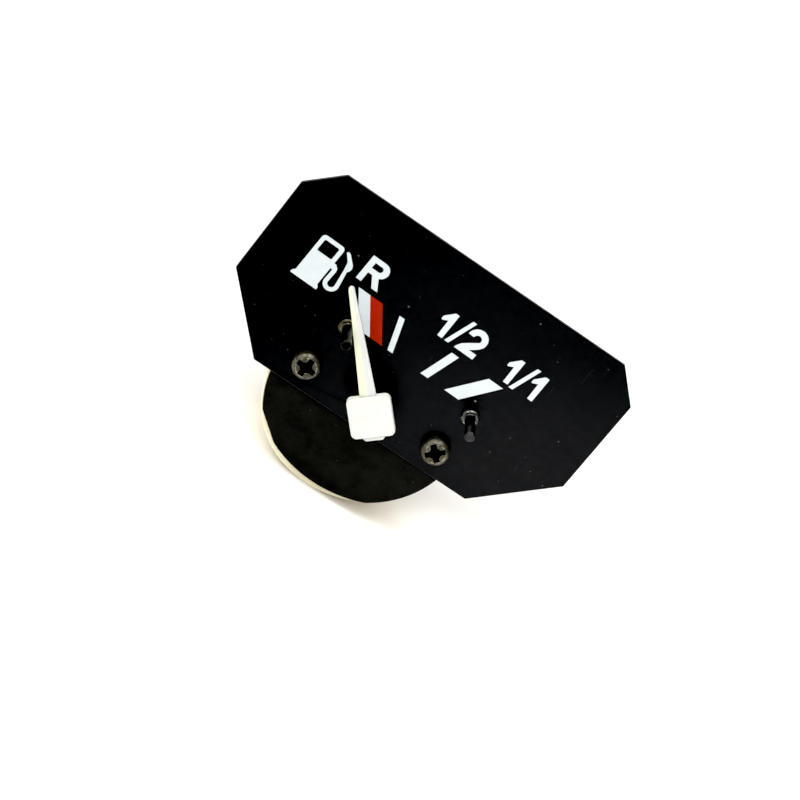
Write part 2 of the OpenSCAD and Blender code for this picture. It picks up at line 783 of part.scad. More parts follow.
module rotor_magnet() {
    color([0.28, 0.28, 0.3]) at_pivot() difference() {
        bar(magnet_r, magnet_back, magnet_t, round_fn);
        bar(hub_r, magnet_back + 1, magnet_t + 2);
    }
}

dial_plate();
scale_white();
scale_red();
dial_screws();
stop_pin_left();
stop_pin_right();
front_disc();
case();
post_inserts();
terminal_studs();
terminal_tags();
coil_leads();
ballast_resistor();
resistor_leads();
shield_can();
bobbin_front();
bobbin_rear();
inner_coil();
outer_coil();
front_bearing();
rear_bearing();
return_magnet();
pointer();
pointer_cap();
balance_weight();
pointer_bush();
pointer_shaft();
magnet_hub();
rotor_magnet();
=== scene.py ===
from math import asin, atan2, cos, hypot, pi, radians, sin, sqrt

import bmesh
import bpy
from mathutils import Matrix, Vector


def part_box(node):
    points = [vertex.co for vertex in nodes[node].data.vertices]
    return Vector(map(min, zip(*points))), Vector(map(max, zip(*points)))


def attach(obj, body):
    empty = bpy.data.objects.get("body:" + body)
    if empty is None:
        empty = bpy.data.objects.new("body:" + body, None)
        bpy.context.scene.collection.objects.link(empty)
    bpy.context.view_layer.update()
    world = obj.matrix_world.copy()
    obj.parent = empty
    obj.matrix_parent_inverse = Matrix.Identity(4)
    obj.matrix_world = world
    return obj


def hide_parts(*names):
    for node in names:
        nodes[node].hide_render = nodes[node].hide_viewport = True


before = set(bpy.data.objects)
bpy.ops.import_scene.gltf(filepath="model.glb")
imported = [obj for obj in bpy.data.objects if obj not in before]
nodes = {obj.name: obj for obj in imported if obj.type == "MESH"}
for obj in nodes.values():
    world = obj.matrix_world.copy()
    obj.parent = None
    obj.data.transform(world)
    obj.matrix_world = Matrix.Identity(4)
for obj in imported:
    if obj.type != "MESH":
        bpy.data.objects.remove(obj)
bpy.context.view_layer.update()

# Camera, table and light.
# The gauge was photographed from the front, from its upper left and with the camera rolled, on a
# white table under soft white light that leaves the table without a visible edge.
scene = bpy.context.scene
mm = 0.001
camera = bpy.data.objects.new("camera", bpy.data.cameras.new("camera"))
camera.location = (-0.116749, -0.476333, 0.191477)
camera.rotation_euler = (radians(62.9061), radians(-36.0617), radians(1.9819))
camera.data.lens = 135
camera.data.sensor_width = 36
camera.data.clip_start = 0.01
scene.collection.objects.link(camera)
scene.camera = camera
scene.view_settings.view_transform = "Standard"
scene.view_settings.use_curve_mapping = True
scene.view_settings.curve_mapping.black_level = (0.0138, 0.0131, 0.0123)


def add_node(tree, kind, inputs=None, **properties):
    """A node with its properties set, its inputs set to values or joined to sockets."""
    made = tree.nodes.new(kind)
    for name, value in properties.items():
        setattr(made, name, value)
    for name, value in (inputs or {}).items():
        if isinstance(value, bpy.types.NodeSocket):
            tree.links.new(value, made.inputs[name])
        else:
            made.inputs[name].default_value = value
    return made


def new_finish(name, **sockets):
    """A material whose shader's own sockets hold the constants."""
    finish = bpy.data.materials.new(name)
    finish.use_nodes = True
    shader = finish.node_tree.nodes["Principled BSDF"]
    for socket, value in sockets.items():
        shader.inputs[socket.replace("_", " ")].default_value = value
    return finish, finish.node_tree, shader


def where(tree):
    """Places on the piece, in metres."""
    return add_node(tree, "ShaderNodeTexCoord").outputs["Object"]


def cloudy(tree, place, size, detail=3, roughness=0.5, stretch=(1, 1, 1)):
    """Noise with patches of a size in millimetres."""
    if stretch != (1, 1, 1):
        mapping = add_node(tree, "ShaderNodeMapping", {"Vector": place, "Scale": stretch})
        place = mapping.outputs[0]
    noise = add_node(tree, "ShaderNodeTexNoise", {
        "Vector": place, "Scale": 1 / (size * mm), "Detail": detail, "Roughness": roughness})
    return noise.outputs["Fac"]


def blended(tree, share, first, second):
    """A colour between two others, by a share from 0 to 1."""
    made = add_node(tree, "ShaderNodeMix", data_type="RGBA")
    for socket, value in zip((made.inputs[0], *made.inputs[6:8]), (share, first, second)):
        if isinstance(value, bpy.types.NodeSocket):
            tree.links.new(value, socket)
        else:
            socket.default_value = (*value, 1) if socket.type == "RGBA" else value
    return made.outputs[2]


def drive(tree, shader, **sockets):
    """Joins what varies over a surface to the shader."""
    for socket, value in sockets.items():
        tree.links.new(value, shader.inputs[socket.replace("_", " ")])


def mesh_object(name, verts=(), faces=()):
    """A linked object with a mesh of points in millimetres."""
    mesh = bpy.data.meshes.new(name)
    mesh.from_pydata([Vector(v) * mm for v in verts], [], faces)
    made = bpy.data.objects.new(name, mesh)
    scene.collection.objects.link(made)
    return made


def coat(made, finish):
    """Gives a whole mesh one finish."""
    made.data.materials.clear()
    made.data.materials.append(finish)


table_z, table_reach = -18, 4000
corners = ((-1, -1), (1, -1), (1, 1), (-1, 1))
table = mesh_object("table", [(x * table_reach, y * table_reach, table_z) for x, y in corners],
                    [(0, 1, 2, 3)])
table_finish, tree, shader = new_finish("white_table", Roughness=0.6, Specular_IOR_Level=0.1)
clouds = cloudy(tree, where(tree), 60)
drive(tree, shader, Base_Color=blended(tree, clouds, (0.92, 0.9, 0.865), (0.9, 0.88, 0.845)))
coat(table, table_finish)


def soft_light(name, place, aim, size, power, spread):
    """A rectangular soft box at a place, turned to a point, out of the camera's sight."""
    lamp = bpy.data.lights.new(name, "AREA")
    lamp.shape = "RECTANGLE"
    lamp.size, lamp.size_y = size
    lamp.energy = power
    lamp.spread = radians(spread)
    box = bpy.data.objects.new(name, lamp)
    box.visible_camera = False
    box.location = place
    box.rotation_euler = (Vector(aim) - Vector(place)).to_track_quat("-Z", "Y").to_euler()
    scene.collection.objects.link(box)


soft_light("low_box", (0.034, -0.012, -0.003), (0.034, -0.0099, -0.018), size=(0.028, 0.016),
           power=0.0016, spread=100)
soft_light("table_box", (0.05, -0.07, 0.08), (0.055, -0.085, -0.018), size=(0.06, 0.06),
           power=0.07, spread=75)
key = bpy.data.lights.new("soft_ceiling", "SUN")
key.energy = 5.5
key.angle = radians(80)
ceiling = bpy.data.objects.new("soft_ceiling", key)
ceiling.rotation_euler = Vector((-0.45, -0.45, 0.77)).to_track_quat("Z", "Y").to_euler()
scene.collection.objects.link(ceiling)
room_light, backdrop_light = 0.2, 1.2
world = bpy.data.worlds.new("room")
world.use_nodes = True
room = world.node_tree
background = room.nodes["Background"]
background.inputs["Color"].default_value = (1, 1, 1, 1)
seen = add_node(room, "ShaderNodeLightPath").outputs["Is Camera Ray"]
strength = add_node(room, "ShaderNodeMapRange", {
    "Value": seen, "To Min": room_light, "To Max": backdrop_light})
room.links.new(strength.outputs["Result"], background.inputs["Strength"])
scene.world = world

# Case.
# A cup moulded in cream plastic, 36 mm across, with two screw posts on its inside, a pad that
# carries the movement and three holes in its floor for the studs.
case_r, case_depth, case_wall, floor_t = 18, 20, 1.8, 2
rim_y, inside_r = -case_depth, case_r - case_wall
edge_round, foot_round, rim_bevel = 1, 0.8, 0.2
post_r, insert_hole_r, insert_hole_end, screw_hole_r, screw_hole_end = 2.9, 2.02, 5, 1.4, 7
pad_r, pad_front = 5, -4.5
stud_hole_r, ejector_r, ejector_depth, gate_r, gate_depth = 2.25, 1.6, 0.07, 1.2, 0.14
pivot = Vector((-0.4, 0, 2.2))
screw_places = [(-13.55, 1.7), (13.25, 1.7)]
stud_turns, stud_ring = (90, 210, 330), 12


def maths(tree, operation, *values, clamp=False):
    """A math node's result, its inputs numbers or sockets."""
    made = add_node(tree, "ShaderNodeMath", operation=operation, use_clamp=clamp)
    for socket, value in zip(made.inputs, values):
        if isinstance(value, bpy.types.NodeSocket):
            tree.links.new(value, socket)
        else:
            socket.default_value = value
    return made.outputs[0]


def product(tree, first, *others):
    """Several values multiplied."""
    for value in others:
        first = maths(tree, "MULTIPLY", first, value)
    return first


def ranged(tree, value, low, high, to_low=0, to_high=1):
    """A value carried from one range to another and held at its ends."""
    made = add_node(tree, "ShaderNodeMapRange", {
        "Value": value, "From Min": low, "From Max": high, "To Min": to_low, "To Max": to_high})
    return made.outputs["Result"]


def specks(tree, place, size, spacing, share):
    """Small round specks, on a share of the cells of a given spacing in millimetres."""
    cells = add_node(tree, "ShaderNodeTexVoronoi", {
        "Vector": place, "Scale": 1 / (spacing * mm), "Randomness": 1})
    chance = add_node(tree, "ShaderNodeSeparateXYZ", {"Vector": cells.outputs["Color"]}).outputs[0]
    dots = ranged(tree, cells.outputs["Distance"], size / 2 / spacing, size / 4 / spacing)
    return product(tree, maths(tree, "LESS_THAN", chance, share), dots)


def lift(tree, shader, height, depth):
    """Relief from a height between 0 and 1, to a depth in millimetres."""
    relief = add_node(tree, "ShaderNodeBump", {
        "Height": height, "Distance": depth * mm, "Strength": 1})
    tree.links.new(relief.outputs[0], shader.inputs["Normal"])


def toward(tree, place, start, direction):
    """How far a place lies from a start, along a direction, in metres."""
    offset = add_node(tree, "ShaderNodeVectorMath", {0: place, 1: [c * mm for c in start]},
                      operation="SUBTRACT")
    reach = add_node(tree, "ShaderNodeVectorMath", {0: offset.outputs[0], 1: direction},
                     operation="DOT_PRODUCT")
    return reach.outputs["Value"]


def along_y(tree, place):
    """Depth behind the case's rear plane, in metres."""
    return toward(tree, place, (0, 0, 0), (0, 1, 0))


def round_axis(tree, place, *centres):
    """The turn round the nearer of one or two axes along Y at one height, and the distance."""
    (first_x, z), (last_x, _) = centres[0], centres[-1]
    across = toward(tree, place, ((first_x + last_x) / 2, 0, 0), (1, 0, 0))
    if len(centres) == 2:
        apart = (last_x - first_x) / 2 * mm
        across = maths(tree, "SUBTRACT", maths(tree, "ABSOLUTE", across), apart)
    above = toward(tree, place, (0, 0, z), (0, 0, 1))
    squares = maths(tree, "ADD", product(tree, across, across), product(tree, above, above))
    return maths(tree, "ARCTAN2", above, across), maths(tree, "SQRT", squares)


def skin(name, rings):
    """A closed solid from rings of points, each joined to the next, its ends filled."""
    made = mesh_object(name)
    count = len(rings[0])
    bm = bmesh.new()
    verts = [[bm.verts.new(Vector(p) * mm) for p in ring] for ring in rings]
    for low, high in zip(verts, verts[1:]):
        for i in range(count):
            j = (i + 1) % count
            bm.faces.new((low[i], low[j], high[j], high[i]))
    for ring in (verts[0], verts[-1]):
        bm.faces.new(ring)
    bmesh.ops.remove_doubles(bm, verts=bm.verts, dist=1e-7)
    bmesh.ops.dissolve_degenerate(bm, edges=bm.edges, dist=1e-7)
    bmesh.ops.recalc_face_normals(bm, faces=bm.faces)
    bm.to_mesh(made.data)
    bm.free()
    return made


def turned(name, profile, at=(0, 0), steps=96):
    """Turned work: (radius, y) pairs carried round an axis along Y."""
    turns = [2 * pi * i / steps for i in range(steps)]
    return skin(name, [[(at[0] + max(r, 1e-5) * cos(a), y, at[1] + max(r, 1e-5) * sin(a))
                        for a in turns] for r, y in profile])


def rounded_corner(centre, r, start, end, count=5):
    """Points on a small arc of a profile, from one angle to another."""
    angles = [radians(start + (end - start) * i / count) for i in range(count + 1)]
    return [(centre[0] + r * cos(a), centre[1] + r * sin(a)) for a in angles]


def baked(made):
    """Modifiers applied, the result a plain mesh."""
    depsgraph = bpy.context.evaluated_depsgraph_get()
    evaluated = made.evaluated_get(depsgraph)
    mesh = bpy.data.meshes.new_from_object(evaluated, depsgraph=depsgraph)
    made.modifiers.clear()
    made.data = mesh
    mesh.name = made.name
    return made


def smooth(made, angle=35):
    """Smooth shading that keeps sharp edges and leaves large faces flat."""
    made.data.shade_smooth()
    made.data.set_sharp_from_angle(angle=radians(angle))
    made.modifiers.new("shading", "WEIGHTED_NORMAL").keep_sharp = True
    return baked(made)


def joined(name, *parts):
    """Several meshes made one piece."""
    bm = bmesh.new()
    for part in parts:
        bm.from_mesh(part.data)
    bmesh.ops.recalc_face_normals(bm, faces=bm.faces)
    made = parts[0]
    whole = bpy.data.meshes.new(name)
    bm.to_mesh(whole)
    bm.free()
    for part in parts[1:]:
        bpy.data.objects.remove(part)
    made.data = whole
    made.name = name
    return made


def cut_from(made, cutter):
    """A piece with the shape of a cutter taken out of it."""
    cut = made.modifiers.new("cut", "BOOLEAN")
    cut.operation = "DIFFERENCE"
    cut.solver = "EXACT"
    cut.object = cutter
    baked(made)
    bpy.data.objects.remove(cutter)
    return made


edge_r, foot_r = case_r - edge_round, inside_r - foot_round
foot_y = -floor_t - foot_round
shell = turned("case_shell", [
    (0, 0), (edge_r, 0), *rounded_corner((edge_r, -edge_round), edge_round, 90, 0),
    (case_r, rim_y + rim_bevel), (case_r - rim_bevel, rim_y),
    (inside_r + 0.15, rim_y), (inside_r, rim_y + 0.15),
    (inside_r, foot_y), *rounded_corner((foot_r, foot_y), foot_round, 0, 90), (0, -floor_t),
], steps=144)
stud_hole = [(0, 1), (stud_hole_r, 1), (stud_hole_r, -floor_t - 1), (0, -floor_t - 1)]
ejector_mark = [(0, 1), (ejector_r + 0.1, 1), (ejector_r, -ejector_depth), (0, -ejector_depth)]
gate_mark = [(0, 1), (gate_r + 0.15, 1), (gate_r, -gate_depth), (0.4, -gate_depth),
             (0.3, -0.04), (0, -0.04)]
on_ring = {a: (stud_ring * cos(radians(a)), stud_ring * sin(radians(a)))
           for a in range(30, 360, 60)}
openings = [turned("stud_hole", stud_hole, on_ring[a], steps=48) for a in stud_turns]
openings += [turned("ejector_mark", ejector_mark, at, steps=48)
             for a, at in on_ring.items() if a not in stud_turns]
openings.append(turned("gate_mark", gate_mark, steps=48))
cut_from(shell, joined("openings", *openings))

post_profile = [
    (0, -1), (post_r, -1), (post_r, rim_y), (insert_hole_r, rim_y),
    (insert_hole_r, rim_y + insert_hole_end), (screw_hole_r, rim_y + insert_hole_end),
    (screw_hole_r, rim_y + screw_hole_end), (0, rim_y + screw_hole_end)]
posts = [turned("post", post_profile, at) for at in screw_places]
# The posts merge with the wall and stay clear of its outer face.
post_reach = case_r - 0.9
for post in posts:
    for v in post.data.vertices:
        reach = hypot(v.co.x, v.co.z) / mm
        if reach > post_reach:
            v.co.x *= post_reach / reach
            v.co.z *= post_reach / reach
pad = turned("pad", [(0, -1), (pad_r, -1), (pad_r, pad_front + 0.2), (pad_r - 0.2, pad_front),
                     (0, pad_front)], (pivot.x, pivot.z))
case = smooth(joined("case_cup", shell, *posts, pad))

case_finish, tree, shader = new_finish("cream_plastic", Specular_IOR_Level=0.35)
place = where(tree)
depth = along_y(tree, place)
_, reach = round_axis(tree, place, (0, 0))
aged = ranged(tree, cloudy(tree, place, 9, 4), 0.35, 0.7)
grime = product(tree, ranged(tree, cloudy(tree, place, 6, 5, 0.6), 0.5, 0.8), 0.4)
marks = product(tree, maths(tree, "LESS_THAN", depth, -0.03 * mm),
                maths(tree, "GREATER_THAN", depth, -0.2 * mm),
                maths(tree, "LESS_THAN", reach, (case_r - 1.5) * mm), 0.35)
spots = product(tree, specks(tree, place, 0.16, 1.6, 0.22), 0.5)
cream = blended(tree, aged, (0.8, 0.75, 0.575), (0.76, 0.69, 0.485))
cream = blended(tree, grime, cream, (0.62, 0.53, 0.34))
cream = blended(tree, marks, cream, (0.55, 0.45, 0.28))
cream = blended(tree, spots, cream, (0.25, 0.2, 0.13))
gloss = ranged(tree, cloudy(tree, place, 3, 4), 0.3, 0.7, 0.34, 0.52)
drive(tree, shader, Base_Color=cream, Roughness=gloss)
waves = product(tree, cloudy(tree, place, 3, 3), 0.8)
lift(tree, shader, maths(tree, "ADD", cloudy(tree, place, 0.25, 3), waves), 0.01)
coat(case, case_finish)
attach(case, "case_body")
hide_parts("case")

# Post inserts.
# Two threaded brass bushes, 4 mm across and 5 mm long, knurled outside and pressed warm into the
# posts of the case, for the dial screws to bite in.
knurls, knurl_slant_per_mm, knurl_depth = 26, 9, 0.06


def dress(node, finish):
    """Gives a CAD node's own object a finish."""
    materials = nodes[node].data.materials
    for i in range(len(materials)):
        materials[i] = finish


def metal(name, clean, dull, patch, roughness):
    """Bare or plated metal with dull patches of a size in millimetres."""
    finish, tree, shader = new_finish(name, Metallic=1)
    place = where(tree)
    dulled = ranged(tree, cloudy(tree, place, patch, 5, 0.6), 0.4, 0.68)
    drive(tree, shader, Base_Color=blended(tree, dulled, clean, dull),
          Roughness=ranged(tree, dulled, 0, 1, *roughness))
    return finish, tree, shader, place


insert_finish, tree, shader, place = metal(
    "insert_brass", (0.72, 0.53, 0.24), (0.45, 0.3, 0.13), patch=1.5, roughness=(0.25, 0.42))
turn, _ = round_axis(tree, place, *screw_places)
slant = product(tree, along_y(tree, place), knurl_slant_per_mm / mm)
ridges = product(tree, turn, knurls)
knurl = product(tree, maths(tree, "SINE", maths(tree, "ADD", ridges, slant)),
                maths(tree, "SINE", maths(tree, "SUBTRACT", ridges, slant)))
lift(tree, shader, knurl, knurl_depth)
dress("post_inserts", insert_finish)

# Terminal studs.
# Three brass studs with a rolled M4 thread behind the case, for the wires of the sender, the
# supply and earth. Each is riveted through the floor of the case by its head.
stud_r, stud_len, thread_pitch, thread_depth = 2, 9, 0.7, 0.42
tip_chamfer, plain_foot = 0.4, 0.6
neck_r, stud_head_r, stud_head_back, stud_head_front = 2.2, 3, -2.5, -3.7


def new_tree(name, inputs):
    """An empty geometry tree with named inputs and one output."""
    tree = bpy.data.node_groups.new(name, "GeometryNodeTree")
    tree.interface.new_socket("Geometry", in_out="OUTPUT", socket_type="NodeSocketGeometry")
    for label, kind, value in inputs:
        socket = tree.interface.new_socket(label, in_out="INPUT", socket_type=kind)
        if value is not None:
            socket.default_value = value
    return tree, tree.nodes.new("NodeGroupInput").outputs


def put_out_copies(tree, finish, **placing):
    """Instances made real and given their finish, as the tree's result."""
    placed = add_node(tree, "GeometryNodeInstanceOnPoints", placing)
    real = add_node(tree, "GeometryNodeRealizeInstances", {"Geometry": placed.outputs[0]})
    coated = add_node(tree, "GeometryNodeSetMaterial", {
        "Geometry": real.outputs[0], "Material": finish})
    tree.links.new(coated.outputs[0], tree.nodes.new("NodeGroupOutput").inputs[0])


def from_tree(name, tree, values):
    """The tree's result as a plain mesh object, with its inputs set by identifier."""
    made = mesh_object(name)
    modifier = made.modifiers.new(name, "NODES")
    modifier.node_group = tree
    for item in tree.interface.items_tree:
        if item.in_out == "INPUT":
            modifier[item.identifier] = values[item.name]
    return baked(made)


thread, given = new_tree("threaded studs", [
    ("Radius", "NodeSocketFloat", 0.002), ("Length", "NodeSocketFloat", 0.009),
    ("Pitch", "NodeSocketFloat", 0.0007), ("Depth", "NodeSocketFloat", 0.0004),
    ("Chamfer", "NodeSocketFloat", 0.0004), ("Plain foot", "NodeSocketFloat", 0.0006),
    ("Ring radius", "NodeSocketFloat", 0.012), ("Count", "NodeSocketInt", 3),
    ("Finish", "NodeSocketMaterial", None)])

# A flat grid is rolled into a bar, X round it and Y along it, with its first and last row drawn
# to the middle as its ends. The thread is cut as a wave that climbs one pitch in a turn.
rows, sides = 130, 40
row_step = 1 / (rows - 1)
grid = add_node(thread, "GeometryNodeMeshGrid", {
    "Size X": 1, "Size Y": 1, "Vertices X": sides + 1, "Vertices Y": rows})
position = add_node(thread, "GeometryNodeInputPosition").outputs[0]
spot = add_node(thread, "ShaderNodeSeparateXYZ", {"Vector": position})
around = maths(thread, "ADD", spot.outputs["X"], 0.5)
along = maths(thread, "ADD", spot.outputs["Y"], 0.5)
turn = maths(thread, "MULTIPLY", around, 2 * pi)
height = ranged(thread, along, row_step, 1 - row_step, 0, given["Length"])
rise = maths(thread, "DIVIDE", height, given["Pitch"])
phase = maths(thread, "FRACT", maths(thread, "SUBTRACT", rise, around))
swing = maths(thread, "SUBTRACT", maths(thread, "MULTIPLY", phase, 2), 1)
flank = maths(thread, "MULTIPLY", maths(thread, "ABSOLUTE", swing), 1.35)
groove = product(thread, maths(thread, "SUBTRACT", flank, 0.2, clamp=True), given["Depth"])
past_foot = maths(thread, "SUBTRACT", height, given["Plain foot"])
start = maths(thread, "DIVIDE", past_foot, given["Pitch"], clamp=True)
radius = maths(thread, "SUBTRACT", given["Radius"], product(thread, groove, start))
tip_r = maths(thread, "SUBTRACT", given["Radius"], given["Chamfer"])
tip = maths(thread, "ADD", tip_r, maths(thread, "SUBTRACT", given["Length"], height))
radius = product(thread, maths(thread, "MINIMUM", radius, tip),
                 maths(thread, "GREATER_THAN", along, row_step / 2),
                 maths(thread, "LESS_THAN", along, 1 - row_step / 2))
bent = add_node(thread, "ShaderNodeCombineXYZ", {
    "X": product(thread, radius, maths(thread, "COSINE", turn)), "Y": height,
    "Z": product(thread, radius, maths(thread, "SINE", turn))})
wound = add_node(thread, "GeometryNodeSetPosition", {
    "Geometry": grid.outputs["Mesh"], "Position": bent.outputs[0]})
closed = add_node(thread, "GeometryNodeMergeByDistance", {
    "Geometry": wound.outputs[0], "Distance": 1e-6})
ring = add_node(thread, "GeometryNodeMeshCircle", {
    "Vertices": given["Count"], "Radius": given["Ring radius"]})
upright = add_node(thread, "GeometryNodeTransform", {
    "Geometry": ring.outputs[0], "Rotation": (pi / 2, -pi / 2, 0)})
put_out_copies(thread, given["Finish"], Points=upright.outputs[0], Instance=closed.outputs[0])


def grained_metal(name, clean, dull, patch, roughness, grain=(1, 1, 1), fine=0.15, depth=0.004):
    """Metal with a fine grain as its relief, stretched where it was turned or drawn."""
    finish, tree, shader, place = metal(name, clean, dull, patch, roughness)
    lift(tree, shader, cloudy(tree, place, fine, 3, 0.5, grain), depth)
    return finish


stud_finish = grained_metal(
    "stud_brass", (0.76, 0.6, 0.31), (0.42, 0.29, 0.14), patch=2.4, roughness=(0.2, 0.42),
    grain=(0.3, 3, 0.3), fine=0.2, depth=0.002)
studs = from_tree("stud_threads", thread, {
    "Radius": stud_r * mm, "Length": stud_len * mm, "Pitch": thread_pitch * mm,
    "Depth": thread_depth * mm, "Chamfer": tip_chamfer * mm, "Plain foot": plain_foot * mm,
    "Ring radius": stud_ring * mm, "Count": len(stud_turns), "Finish": stud_finish})
stud_head = [
    (0, 0), (neck_r - 0.15, 0), (neck_r, -0.15), (neck_r, stud_head_back),
    (stud_head_r - 0.2, stud_head_back), (stud_head_r, stud_head_back - 0.2),
    (stud_head_r, stud_head_front + 0.2), (stud_head_r - 0.2, stud_head_front),
    (0, stud_head_front)]
heads = [turned("stud_head", stud_head, on_ring[a], steps=48) for a in stud_turns]
studs = smooth(joined("terminal_stud_set", studs, *heads), angle=50)
coat(studs, stud_finish)
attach(studs, "case_body")
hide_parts("terminal_studs")

# Solder tags and resistor leads.
# Three bent tags of tinned strip are clamped under the stud heads. The resistor's tinned leads
# are soldered to two of them.
tinned, tree, shader, place = metal(
    "tinned_steel", (0.66, 0.66, 0.63), (0.42, 0.42, 0.4), patch=1.6, roughness=(0.26, 0.46))
solder = ranged(tree, cloudy(tree, place, 2.4, 4, 0.55), 0.52, 0.6)
fine_grain = product(tree, cloudy(tree, place, 0.2, 3), 0.4)
lift(tree, shader, maths(tree, "ADD", solder, fine_grain), 0.02)
dress("terminal_tags", tinned)
dress("resistor_leads", tinned)

# Calibrating resistor.
# A small resistor dipped in beige lacquer with four colour bands, which trims the reading of the
# outer coil.
band_w = 0.5
brown, black, gold = (0.13, 0.035, 0.012), (0.01, 0.01, 0.01), (0.55, 0.35, 0.08)
bands = {-2.3: brown, -1.1: black, -0.2: brown, 1.9: gold}
resistor_finish, tree, shader = new_finish(
    "resistor_lacquer", Coat_Weight=0.3, Coat_Roughness=0.1)
place = where(tree)
lacquer = blended(tree, cloudy(tree, place, 0.8, 4), (0.62, 0.47, 0.28), (0.52, 0.37, 0.2))
for band_x, band_colour in bands.items():
    beside = maths(tree, "ABSOLUTE", toward(tree, place, (band_x, 0, 0), (1, 0, 0)))
    band = maths(tree, "LESS_THAN", beside, band_w / 2 * mm)
    lacquer = blended(tree, band, lacquer, band_colour)
gloss = ranged(tree, cloudy(tree, place, 0.6, 3), 0.3, 0.7, 0.22, 0.4)
drive(tree, shader, Base_Color=lacquer, Roughness=gloss)
lift(tree, shader, cloudy(tree, place, 0.9, 3), 0.03)
dress("ballast_resistor", resistor_finish)

# Coil leads.
# The ends of the two windings, red enamelled copper wire, dressed along the inside of the case
# to the tags.


def enamelled(name, clean, dull):
    """Copper wire under a thin red enamel."""
    finish, tree, shader = new_finish(name, Metallic=0.8, Coat_Weight=0.5, Coat_Roughness=0.12)
    place = where(tree)
    worn = ranged(tree, cloudy(tree, place, 1.4, 5, 0.6), 0.4, 0.7)
    drive(tree, shader, Base_Color=blended(tree, worn, clean, dull),
          Roughness=ranged(tree, worn, 0, 1, 0.24, 0.42))
    return finish, tree, shader, place


lead_finish, tree, shader, place = enamelled("lead_enamel", (0.5, 0.12, 0.04), (0.3, 0.07, 0.03))
lift(tree, shader, cloudy(tree, place, 0.4, 3), 0.02)
dress("coil_leads", lead_finish)

# Shield can.
# A drawn steel can, zinc plated, open to the front, that keeps stray fields off the movement. It
# stands on the pad of the case.
can_finish = grained_metal(
    "can_steel", (0.58, 0.59, 0.61), (0.36, 0.37, 0.39), patch=2.5, roughness=(0.26, 0.45),
    grain=(1, 0.06, 1), fine=0.25, depth=0.008)
dress("shield_can", can_finish)

# Bobbin.
# Two halves moulded in black nylon, fitted together round the rotor chamber, that carry both
# coils and the two bearings.
nylon, tree, shader = new_finish("bobbin_nylon", Specular_IOR_Level=0.4)
place = where(tree)
flow = ranged(tree, cloudy(tree, place, 3, 4), 0.35, 0.7)
drive(tree, shader, Base_Color=blended(tree, flow, (0.017, 0.019, 0.021), (0.03, 0.032, 0.034)),
      Roughness=ranged(tree, flow, 0, 1, 0.34, 0.52))
lift(tree, shader, maths(tree, "ADD", cloudy(tree, place, 0.2, 3), flow), 0.012)
dress("bobbin_front", nylon)
dress("bobbin_rear", nylon)

# Coils.
# Two crossed windings of enamelled copper wire round the bobbin, each in two halves beside the
# shaft: the inner one is wound about X and the outer one about Z, in even layers.
wire_pitch, wire_depth = 0.16, 0.05
axes = [[float(i == axis) for i in range(3)] for axis in range(3)]
for coil, own_axis, clean, dull in (
        ("inner_coil", 0, (0.56, 0.16, 0.05), (0.4, 0.1, 0.035)),
        ("outer_coil", 2, (0.62, 0.2, 0.07), (0.45, 0.13, 0.045))):
    low, high = (Vector(corner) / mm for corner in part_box(coil))
    middle, reach = (low + high) / 2, (high - low) / 2
    winding, tree, shader, place = enamelled(f"{coil}_wire", clean, dull)
    from_middle = [toward(tree, place, middle, axis) for axis in axes]
    inward = [maths(tree, "SUBTRACT", maths(tree, "ABSOLUTE", from_middle[i]), reach[i] * mm)
              for i in range(3) if i != own_axis]
    runs = (from_middle[own_axis], maths(tree, "MAXIMUM", *inward))
    waves = [maths(tree, "SINE", product(tree, run, pi / wire_pitch / mm)) for run in runs]
    wires = [maths(tree, "ABSOLUTE", wave) for wave in waves]
    lift(tree, shader, maths(tree, "ADD", *wires), wire_depth)
    dress(coil, winding)

# Bearings.
# Two turned and reamed bearing bushes of brass, pressed into the front and rear halves of the
# bobbin.
bearing_finish = grained_metal(
    "bearing_brass", (0.74, 0.56, 0.28), (0.5, 0.34, 0.16), patch=1.2, roughness=(0.2, 0.4),
    grain=(0.4, 8, 0.4))
dress("front_bearing", bearing_finish)
dress("rear_bearing", bearing_finish)

# Magnets.
# The two-pole rotor magnet and the small rod that draws the pointer back to empty, both of
# sintered ferrite, dark grey and matt with small chips.
ferrite, tree, shader = new_finish("magnet_ferrite", Metallic=0.3)
place = where(tree)
grains = cloudy(tree, place, 0.12, 4, 0.7)
chips = ranged(tree, cloudy(tree, place, 0.9, 5, 0.7), 0.62, 0.7)
pale = maths(tree, "ADD", product(tree, grains, 0.6), product(tree, chips, 0.4))
drive(tree, shader, Base_Color=blended(tree, pale, (0.045, 0.045, 0.05), (0.12, 0.12, 0.13)),
      Roughness=ranged(tree, grains, 0.3, 0.7, 0.48, 0.72))
lift(tree, shader, maths(tree, "SUBTRACT", grains, chips), 0.02)
dress("rotor_magnet", ferrite)
dress("return_magnet", ferrite)

# Pointer shaft and magnet hub.
# A ground steel shaft, 1 mm thick, runs in the two bearings. The rotor magnet is held on it by a
# hub moulded in white acetal.
shaft_finish = grained_metal(
    "shaft_steel", (0.66, 0.67, 0.68), (0.46, 0.47, 0.48), patch=2, roughness=(0.12, 0.24),
    grain=(0.5, 10, 0.5), fine=0.1, depth=0.001)
dress("pointer_shaft", shaft_finish)
acetal, tree, shader = new_finish(
    "hub_acetal", Subsurface_Weight=0.1, Subsurface_Radius=(0.001, 0.001, 0.0008))
place = where(tree)
flow = ranged(tree, cloudy(tree, place, 1.2, 4), 0.35, 0.7)
drive(tree, shader, Base_Color=blended(tree, flow, (0.82, 0.82, 0.78), (0.74, 0.73, 0.67)),
      Roughness=ranged(tree, flow, 0, 1, 0.34, 0.5))
lift(tree, shader, cloudy(tree, place, 0.15, 3), 0.008)
dress("magnet_hub", acetal)

